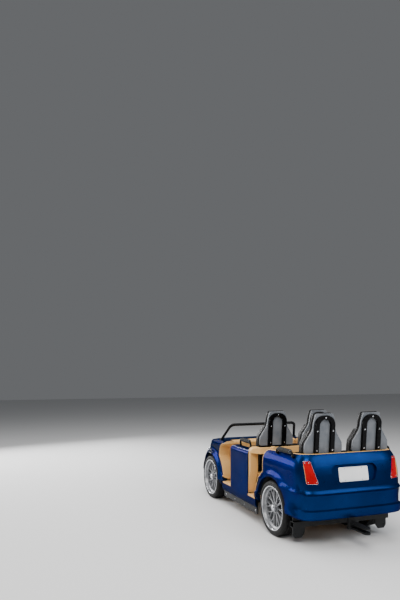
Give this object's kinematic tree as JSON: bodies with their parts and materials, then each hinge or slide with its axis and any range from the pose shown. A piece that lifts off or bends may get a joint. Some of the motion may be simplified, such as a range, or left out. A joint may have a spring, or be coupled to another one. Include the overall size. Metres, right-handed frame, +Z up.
{
  "type": "roller coaster car",
  "caption": "Open four-seat roller coaster car with a blue moulded car-like body, tan liner, high-back seats, lap bars, show wheels and rail wheels on a steel chassis.",
  "frame": {"origin": "middle of the bounding box, on the floor that the show tyres stand on", "axes": "+X the way the car travels, +Y to its left, +Z up"},
  "size_m": [3.3698, 1.3034, 1.3329],
  "materials": {
    "body_blue": "deep metallic blue moulding, glossy",
    "liner_tan": "tan moulded liner, satin",
    "tube_black": "black satin tube and bar",
    "shell_grey": "light grey flat shell, satin",
    "pad_black": "black padded vinyl",
    "grip_foam": "black foam grip",
    "lamp_red": "red lamp panel",
    "lamp_clear": "clear lamp glass",
    "grille_black": "black slotted grille",
    "plate_white": "blank white plate",
    "trim_chrome": "bright trim",
    "well_black": "black wheel well",
    "chassis_grey": "dark grey painted steel",
    "wheel_steel": "turned steel",
    "rim_silver": "polished alloy",
    "tyre_black": "low black tyre",
    "wheel_polymer": "black polymer tread"
  },
  "bodies": {
    "car": {"front_body": "body_blue", "rear_body": "body_blue", "side_mouldings": "body_blue", "floor_tub": "liner_tan", "dash_cowl": "liner_tan", "mid_bulkhead": "liner_tan", "back_panel": "tube_black", "rear_tub": "liner_tan", "windscreen_hoop": "tube_black", "seat_shells": "shell_grey", "seat_pads": "pad_black", "seat_back_bars": "tube_black", "handle_rods": "tube_black", "handle_grips": "grip_foam", "tail_lamps": "lamp_red", "headlamps": "lamp_clear", "grille": "grille_black", "number_plate": "plate_white", "side_markers": "trim_chrome", "wheel_wells": "well_black", "chassis_frame": "chassis_grey", "couplers": "chassis_grey", "wheel_carriers": "chassis_grey", "lap_bar_brackets": "chassis_grey"},
    "rail_axle_front": {"rail_axle_front": "wheel_steel"},
    "show_wheel_front_left": {"rim_front_left": "rim_silver", "tyre_front_left": "tyre_black"},
    "up_stop_front_left": {"up_stop_front_left": "wheel_polymer"},
    "guide_front_left": {"guide_front_left": "wheel_polymer"},
    "lap_bar_front_left": {"lap_bar_front_left": "pad_black"},
    "show_wheel_front_right": {"rim_front_right": "rim_silver", "tyre_front_right": "tyre_black"},
    "up_stop_front_right": {"up_stop_front_right": "wheel_polymer"},
    "guide_front_right": {"guide_front_right": "wheel_polymer"},
    "lap_bar_front_right": {"lap_bar_front_right": "pad_black"},
    "rail_axle_rear": {"rail_axle_rear": "wheel_steel"},
    "show_wheel_rear_left": {"rim_rear_left": "rim_silver", "tyre_rear_left": "tyre_black"},
    "up_stop_rear_left": {"up_stop_rear_left": "wheel_polymer"},
    "guide_rear_left": {"guide_rear_left": "wheel_polymer"},
    "lap_bar_rear_left": {"lap_bar_rear_left": "pad_black"},
    "show_wheel_rear_right": {"rim_rear_right": "rim_silver", "tyre_rear_right": "tyre_black"},
    "up_stop_rear_right": {"up_stop_rear_right": "wheel_polymer"},
    "guide_rear_right": {"guide_rear_right": "wheel_polymer"},
    "lap_bar_rear_right": {"lap_bar_rear_right": "pad_black"}
  },
  "joints": [
    {"name": "rail_axle_front_spin", "type": "hinge", "parent": "car", "child": "rail_axle_front", "pos_m": [0.96, 0, 0.255], "axis": [0, 1, 0], "continuous": true},
    {"name": "show_wheel_front_left_spin", "type": "hinge", "parent": "car", "child": "show_wheel_front_left", "pos_m": [0.96, 0.54, 0.29], "axis": [0, 1, 0], "continuous": true},
    {"name": "up_stop_front_left_spin", "type": "hinge", "parent": "car", "child": "up_stop_front_left", "pos_m": [0.96, 0.36, 0.054], "axis": [0, 1, 0], "continuous": true},
    {"name": "guide_front_left_spin", "type": "hinge", "parent": "car", "child": "guide_front_left", "pos_m": [1.15, 0.278, 0.13], "axis": [0, 0, 1], "continuous": true},
    {"name": "lap_bar_front_left_swing", "type": "hinge", "parent": "car", "child": "lap_bar_front_left", "pos_m": [0.285, 0.283, 0.372], "axis": [0, 1, 0], "range_deg": [0, 50]},
    {"name": "show_wheel_front_right_spin", "type": "hinge", "parent": "car", "child": "show_wheel_front_right", "pos_m": [0.96, -0.54, 0.29], "axis": [0, 1, 0], "continuous": true},
    {"name": "up_stop_front_right_spin", "type": "hinge", "parent": "car", "child": "up_stop_front_right", "pos_m": [0.96, -0.36, 0.054], "axis": [0, 1, 0], "continuous": true},
    {"name": "guide_front_right_spin", "type": "hinge", "parent": "car", "child": "guide_front_right", "pos_m": [1.15, -0.278, 0.13], "axis": [0, 0, 1], "continuous": true},
    {"name": "lap_bar_front_right_swing", "type": "hinge", "parent": "car", "child": "lap_bar_front_right", "pos_m": [0.285, -0.283, 0.372], "axis": [0, 1, 0], "range_deg": [0, 50]},
    {"name": "rail_axle_rear_spin", "type": "hinge", "parent": "car", "child": "rail_axle_rear", "pos_m": [-0.86, 0, 0.255], "axis": [0, 1, 0], "continuous": true},
    {"name": "show_wheel_rear_left_spin", "type": "hinge", "parent": "car", "child": "show_wheel_rear_left", "pos_m": [-0.86, 0.54, 0.29], "axis": [0, 1, 0], "continuous": true},
    {"name": "up_stop_rear_left_spin", "type": "hinge", "parent": "car", "child": "up_stop_rear_left", "pos_m": [-0.86, 0.36, 0.054], "axis": [0, 1, 0], "continuous": true},
    {"name": "guide_rear_left_spin", "type": "hinge", "parent": "car", "child": "guide_rear_left", "pos_m": [-0.67, 0.278, 0.13], "axis": [0, 0, 1], "continuous": true},
    {"name": "lap_bar_rear_left_swing", "type": "hinge", "parent": "car", "child": "lap_bar_rear_left", "pos_m": [-0.702, 0.283, 0.372], "axis": [0, 1, 0], "range_deg": [0, 50]},
    {"name": "show_wheel_rear_right_spin", "type": "hinge", "parent": "car", "child": "show_wheel_rear_right", "pos_m": [-0.86, -0.54, 0.29], "axis": [0, 1, 0], "continuous": true},
    {"name": "up_stop_rear_right_spin", "type": "hinge", "parent": "car", "child": "up_stop_rear_right", "pos_m": [-0.86, -0.36, 0.054], "axis": [0, 1, 0], "continuous": true},
    {"name": "guide_rear_right_spin", "type": "hinge", "parent": "car", "child": "guide_rear_right", "pos_m": [-0.67, -0.278, 0.13], "axis": [0, 0, 1], "continuous": true},
    {"name": "lap_bar_rear_right_swing", "type": "hinge", "parent": "car", "child": "lap_bar_rear_right", "pos_m": [-0.702, -0.283, 0.372], "axis": [0, 1, 0], "range_deg": [0, 50]}
  ]
}
